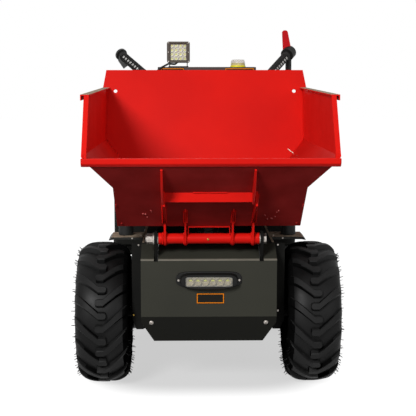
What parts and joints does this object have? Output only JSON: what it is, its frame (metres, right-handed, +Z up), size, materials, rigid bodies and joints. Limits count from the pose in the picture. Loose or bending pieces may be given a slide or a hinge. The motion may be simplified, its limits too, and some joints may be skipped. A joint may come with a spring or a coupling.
{
  "type": "walk-behind site dumper",
  "caption": "Narrow walk-behind electric site dumper with a forward-tipping open skip on two driven front wheels and swivelling rear castors, steered by handlebars.",
  "frame": {"origin": "on the ground, at the middle of the overall length and width", "axes": "+Y runs from the skip lip to the operator's handlebars, +Z is up, and +X is the operator's left hand facing the skip"},
  "size_m": [0.765, 1.3746, 1.0544],
  "materials": {
    "battery_plastic": "matt",
    "black_paint": "satin",
    "black_plastic": "matt",
    "clear_lens": "gloss",
    "grip_plastic": "satin",
    "olive_black_paint": "satin",
    "plate_sheet": "gloss",
    "red_paint": "gloss",
    "red_paint_under": "gloss",
    "red_plastic": "gloss",
    "rubber": "matt",
    "steel": "zinc plated",
    "tyre_rubber": "matt",
    "yellow_plastic": "gloss"
  },
  "bodies": {
    "chassis": {"chassis_rails": "black_paint", "drive_unit": "black_paint", "pivot_ears": "black_paint", "pivot_bolt": "steel", "rest_arms": "black_paint", "rest_buffers": "rubber", "front_crossmember": "black_paint", "actuator_crossmember": "black_paint", "castor_beam": "black_paint", "front_panel": "olive_black_paint", "front_lamp_body": "black_plastic", "front_lamp_lens": "clear_lens", "blank_plate": "plate_sheet", "battery_box": "black_paint", "battery_lid": "black_plastic", "battery_blocks": "battery_plastic", "control_column": "black_paint", "console": "black_plastic", "handlebars": "black_paint", "grip_left": "grip_plastic", "grip_right": "grip_plastic", "lever_housing": "black_plastic", "red_lever": "red_plastic", "thumb_switch": "black_plastic", "work_light_body": "black_paint", "work_light_lens": "clear_lens", "work_light_bracket": "black_paint", "work_light_cable": "black_plastic", "beacon_base": "yellow_plastic", "beacon_dome": "clear_lens", "tow_eye": "black_paint"},
    "skip": {"skip_floor": "red_paint", "skip_front_plate": "red_paint_under", "skip_side_left": "red_paint", "skip_side_right": "red_paint", "skip_lip": "red_paint", "skip_back": "red_paint", "skip_ribs": "red_paint_under", "pivot_tube": "red_paint_under", "skip_rod_lugs": "red_paint_under"},
    "front_wheel_left": {"front_tyre_left": "tyre_rubber", "front_rim_left": "black_paint"},
    "front_wheel_right": {"front_tyre_right": "tyre_rubber", "front_rim_right": "black_paint"},
    "castor_left": {"castor_fork_left": "black_paint"},
    "castor_right": {"castor_fork_right": "black_paint"},
    "castor_wheel_left": {"castor_tyre_left": "tyre_rubber", "castor_rim_left": "black_plastic"},
    "castor_wheel_right": {"castor_tyre_right": "tyre_rubber", "castor_rim_right": "black_plastic"},
    "actuator_barrel": {"actuator_barrel": "black_paint"},
    "actuator_rod": {"actuator_rod": "steel"}
  },
  "joints": [
    {"name": "skip_tip", "type": "hinge", "parent": "chassis", "child": "skip", "pos_m": [0, -0.40026, 0.455], "axis": [1, 0, 0], "range_deg": [0, 75]},
    {"name": "actuator_swing", "type": "hinge", "parent": "chassis", "child": "actuator_barrel", "pos_m": [0, 0.00974, 0.18], "axis": [1, 0, 0], "range_deg": [-2.76, 0]},
    {"name": "actuator_extend", "type": "slide", "parent": "actuator_barrel", "child": "actuator_rod", "axis": [0, -0.7247, 0.6891], "range_m": [0, 0.1311]},
    {"name": "front_wheel_spin_left", "type": "hinge", "parent": "chassis", "child": "front_wheel_left", "pos_m": [0.3035, -0.20026, 0.2065], "axis": [1, 0, 0], "continuous": true},
    {"name": "castor_swivel_left", "type": "hinge", "parent": "chassis", "child": "castor_left", "pos_m": [0.262, 0.39974, 0.296], "axis": [0, 0, 1], "continuous": true},
    {"name": "castor_wheel_spin_left", "type": "hinge", "parent": "castor_left", "child": "castor_wheel_left", "pos_m": [0.262, 0.44974, 0.13], "axis": [1, 0, 0], "continuous": true},
    {"name": "front_wheel_spin_right", "type": "hinge", "parent": "chassis", "child": "front_wheel_right", "pos_m": [-0.3035, -0.20026, 0.2065], "axis": [1, 0, 0], "continuous": true},
    {"name": "castor_swivel_right", "type": "hinge", "parent": "chassis", "child": "castor_right", "pos_m": [-0.262, 0.39974, 0.296], "axis": [0, 0, 1], "continuous": true},
    {"name": "castor_wheel_spin_right", "type": "hinge", "parent": "castor_right", "child": "castor_wheel_right", "pos_m": [-0.262, 0.44974, 0.13], "axis": [1, 0, 0], "continuous": true}
  ],
  "couplings": [
    {"joint": "actuator_swing", "follows": "skip_tip", "ratio": -0.03418},
    {"joint": "actuator_extend", "follows": "skip_tip", "m_per_rad": 0.09942}
  ]
}
